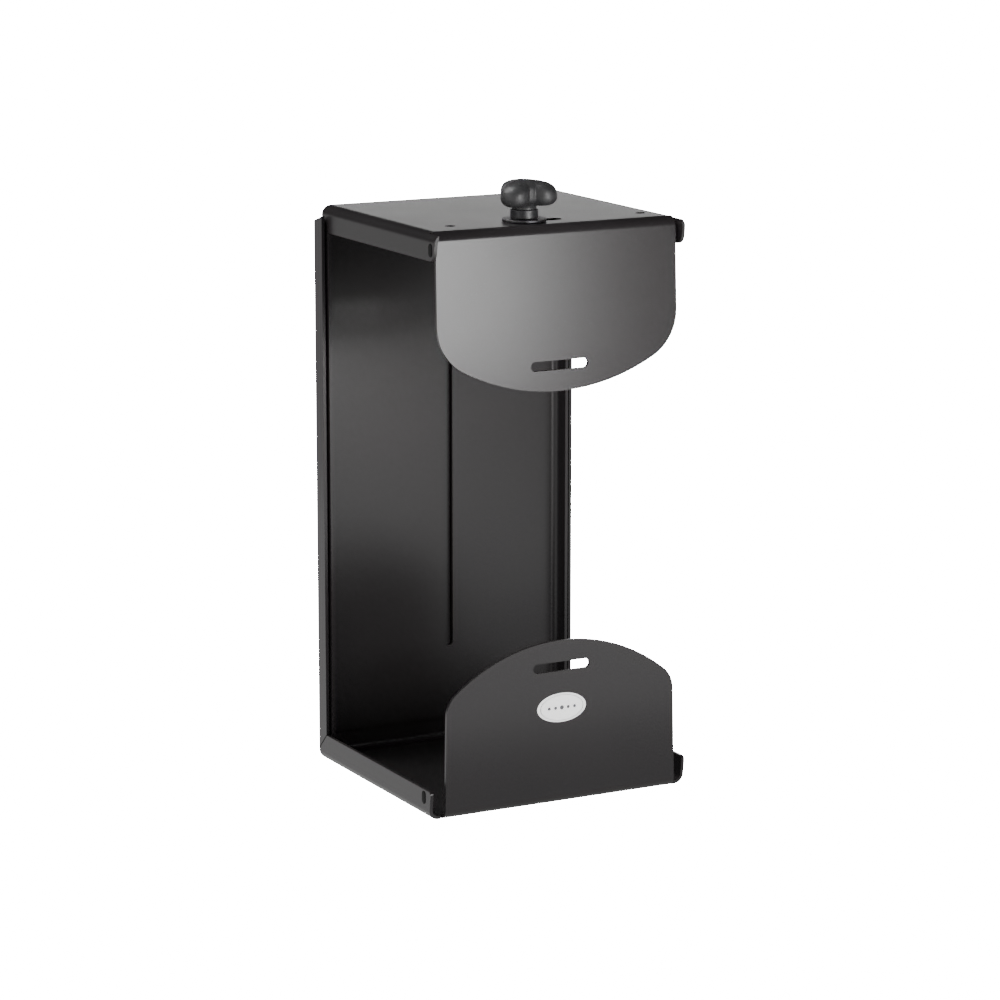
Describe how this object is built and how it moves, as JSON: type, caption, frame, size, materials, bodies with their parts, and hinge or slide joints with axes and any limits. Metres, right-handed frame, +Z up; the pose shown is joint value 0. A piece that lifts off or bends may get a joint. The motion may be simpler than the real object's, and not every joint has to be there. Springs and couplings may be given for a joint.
{
  "type": "cpu holder",
  "caption": "Open computer tower holder: nested bent-sheet frames slide for height, D-shaped front lips stop the case, and a knob clamp on top holds it down.",
  "frame": {"origin": "centre of the base, on the surface that the holder stands on", "axes": "+Z up; -Y towards the front lips; +X to the right seen from the front"},
  "size_m": [0.218, 0.2032, 0.4674],
  "materials": {
    "powder_coat": "satin black powder coat",
    "knob_plastic": "fine-textured moulded plastic",
    "collar_plastic": "smooth moulded plastic",
    "black_steel": "black oxide steel",
    "zinc_steel": "bright zinc plated",
    "nylon": "black nylon",
    "foot_rubber": "matt black rubber",
    "label": "glossy domed label, plain, no lettering"
  },
  "bodies": {
    "base": {"lower_frame": "powder_coat", "label_plate": "label", "height_stud_1": "zinc_steel", "height_stud_2": "zinc_steel", "glide_washer_1": "nylon", "glide_washer_2": "nylon", "front_washer_1": "black_steel", "front_washer_2": "black_steel", "height_nut_1": "black_steel", "height_nut_2": "black_steel"},
    "upper": {"upper_frame": "powder_coat"},
    "clamp_carriage": {"clamp_nut_plate": "zinc_steel", "clamp_slot_washer": "black_steel"},
    "clamp_foot": {"clamp_foot_cup": "black_steel", "clamp_foot_pad": "foot_rubber"},
    "clamp_screw": {"clamp_stud": "zinc_steel", "knob_head": "knob_plastic", "knob_collar": "collar_plastic", "clamp_foot_clip": "zinc_steel"}
  },
  "joints": [
    {"name": "height_slide", "type": "slide", "parent": "base", "child": "upper", "axis": [0, 0, 1], "range_m": [0, 0.24]},
    {"name": "clamp_shift", "type": "slide", "parent": "upper", "child": "clamp_carriage", "axis": [1, 0, 0], "range_m": [0, 0.025]},
    {"name": "clamp_travel", "type": "slide", "parent": "clamp_carriage", "child": "clamp_foot", "axis": [0, 0, 1], "range_m": [0, 0.035]},
    {"name": "knob_spin", "type": "hinge", "parent": "clamp_foot", "child": "clamp_screw", "pos_m": [-0.0125, -0.06395, 0.4378], "axis": [0, 0, 1], "range_deg": [0, 10090]}
  ],
  "couplings": [
    {"joint": "knob_spin", "follows": "clamp_travel", "rad_per_m": 5026.5}
  ]
}
